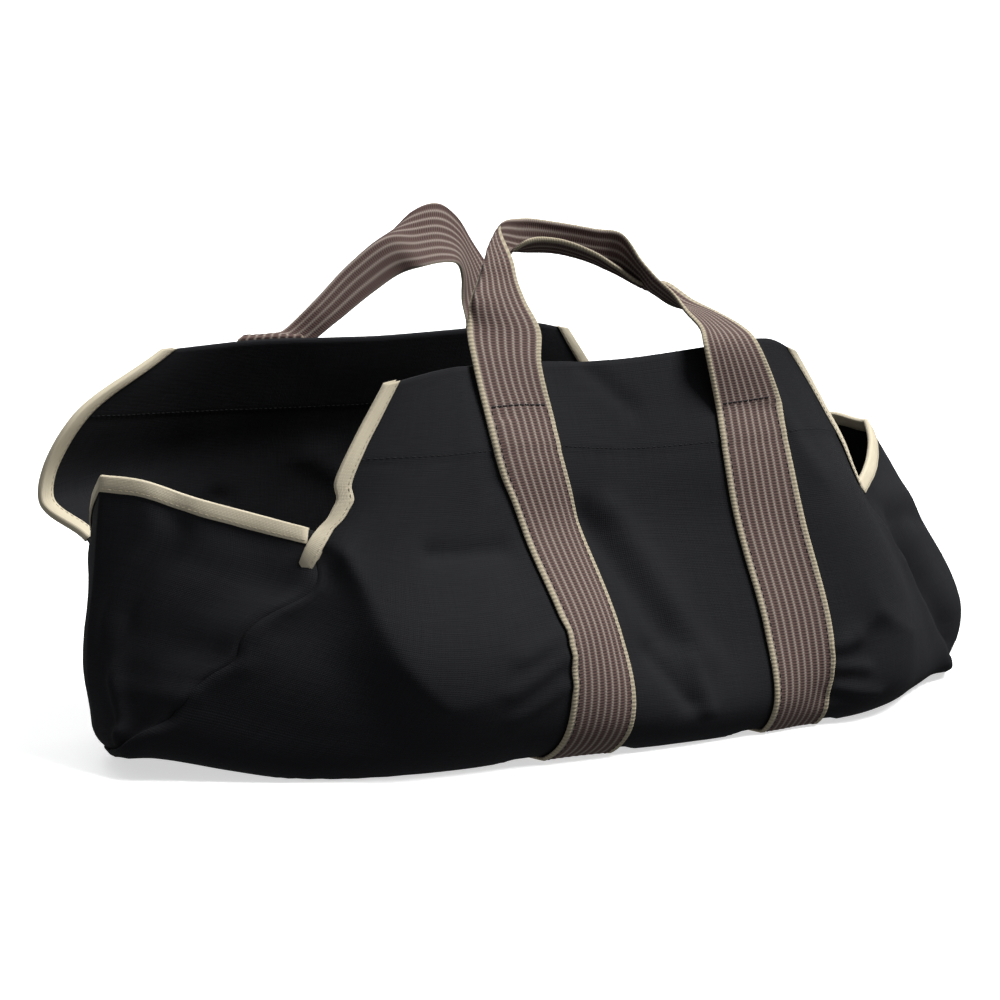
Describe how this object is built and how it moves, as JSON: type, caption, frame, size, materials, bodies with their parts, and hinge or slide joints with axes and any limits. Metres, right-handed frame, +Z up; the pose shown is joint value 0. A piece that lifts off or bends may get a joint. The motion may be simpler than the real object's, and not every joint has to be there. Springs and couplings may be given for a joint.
{
  "type": "log carrier",
  "caption": "Open-ended canvas log carrier: a sling panel with low end panels, taped edges, and webbing straps that run under it and make its carrying handles.",
  "frame": {"origin": "on the floor under the flat bottom of the bag, midway between the front and back top edges", "axes": "+X along the bag to its right end, -Y to the front wall, +Z up"},
  "size_m": [0.6198, 0.3249, 0.2875],
  "materials": {
    "canvas": "matt woven black canvas",
    "binding": "matt beige twill tape",
    "webbing": "ribbed mauve-brown webbing with pale ribs and beige edges"
  },
  "bodies": {
    "root": {"main_panel": "canvas", "end_panel_left": "canvas", "end_panel_right": "canvas", "edge_binding_front_left": "binding", "edge_binding_front_right": "binding", "edge_binding_back_left": "binding", "edge_binding_back_right": "binding", "end_binding_left": "binding", "end_binding_right": "binding", "strap_front": "webbing", "strap_back": "webbing"}
  },
  "joints": []
}
